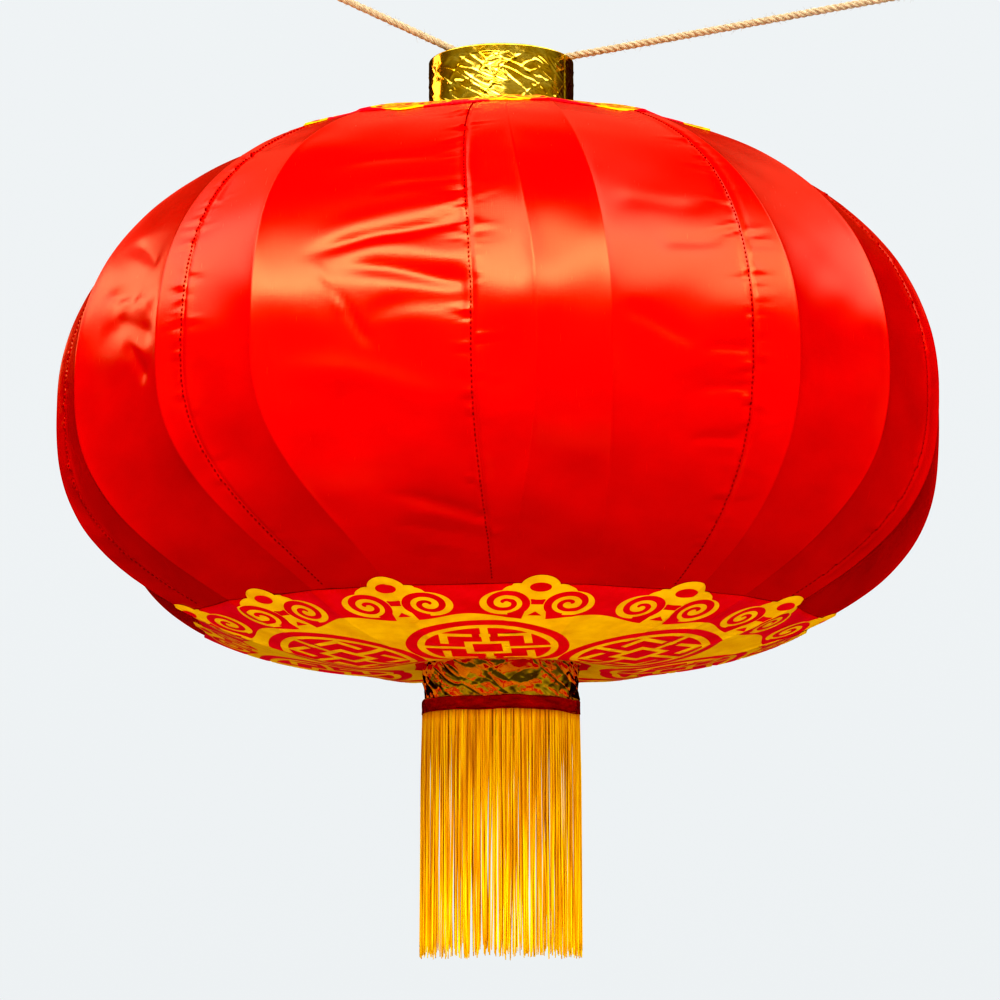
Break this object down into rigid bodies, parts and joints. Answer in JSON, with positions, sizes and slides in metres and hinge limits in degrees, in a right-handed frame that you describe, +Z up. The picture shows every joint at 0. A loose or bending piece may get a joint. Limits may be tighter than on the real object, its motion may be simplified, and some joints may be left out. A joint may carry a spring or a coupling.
{
  "type": "hanging festival lantern",
  "caption": "Squashed globe lantern of red satin gores on spring-wire ribs, with foil collars, printed medallions, a fringe and a rope to hang from.",
  "frame": {"origin": "lowest point of the rope's V on its centreline, where the hanging ring bears and the lantern is held", "axes": "+Z up along the tie rod, -Y towards the front, the rope runs along X"},
  "size_m": [0.6738, 0.5947, 0.6954],
  "materials": {
    "jute_rope": "twisted natural jute",
    "steel_wire": "drawn wire and strip",
    "red_satin": "glossy satin weave",
    "printed_cloth": "crimson cloth printed in gold",
    "card": "plain rolled card",
    "gold_foil": "crinkled mirror foil",
    "red_tape": "glossy dark red tape",
    "yellow_yarn": "bright flat yarn"
  },
  "bodies": {
    "rope": {"hanging_rope": "jute_rope", "left_rope_loop": "jute_rope", "right_rope_loop": "jute_rope"},
    "ring": {"hanging_ring": "steel_wire"},
    "rod": {"tie_rod": "steel_wire", "rod_top_stop": "steel_wire", "rod_bottom_stop": "steel_wire"},
    "lantern": {"top_crossbar": "steel_wire", "bottom_crossbar": "steel_wire", "top_hoop": "steel_wire", "bottom_hoop": "steel_wire", "rib_01": "steel_wire", "rib_02": "steel_wire", "rib_03": "steel_wire", "rib_04": "steel_wire", "rib_05": "steel_wire", "rib_06": "steel_wire", "rib_07": "steel_wire", "rib_08": "steel_wire", "rib_09": "steel_wire", "rib_10": "steel_wire", "rib_11": "steel_wire", "rib_12": "steel_wire", "rib_13": "steel_wire", "rib_14": "steel_wire", "rib_15": "steel_wire", "rib_16": "steel_wire", "satin_gore_01": "red_satin", "satin_gore_02": "red_satin", "satin_gore_03": "red_satin", "satin_gore_04": "red_satin", "satin_gore_05": "red_satin", "satin_gore_06": "red_satin", "satin_gore_07": "red_satin", "satin_gore_08": "red_satin", "satin_gore_09": "red_satin", "satin_gore_10": "red_satin", "top_medallion": "printed_cloth", "bottom_medallion": "printed_cloth", "top_collar": "card", "bottom_collar": "card", "top_foil": "gold_foil", "bottom_foil": "gold_foil", "fringe_heading": "yellow_yarn", "fringe_band": "red_tape"},
    "fringe": {"fringe_skirt": "yellow_yarn"}
  },
  "joints": [
    {"name": "ring_rock", "type": "hinge", "parent": "rope", "child": "ring", "pos_m": [0, 0, 0], "axis": [1, 0, 0], "range_deg": [-15, 15]},
    {"name": "rod_sway", "type": "hinge", "parent": "ring", "child": "rod", "pos_m": [0, 0, -0.01265], "axis": [0, 1, 0], "range_deg": [-2, 10]},
    {"name": "body_swivel", "type": "hinge", "parent": "rod", "child": "lantern", "pos_m": [0, 0, -0.2], "axis": [0, 0, 1], "continuous": true},
    {"name": "fringe_swing", "type": "hinge", "parent": "lantern", "child": "fringe", "pos_m": [0, 0, -0.461], "axis": [0, 1, 0], "range_deg": [-10, 10]}
  ]
}
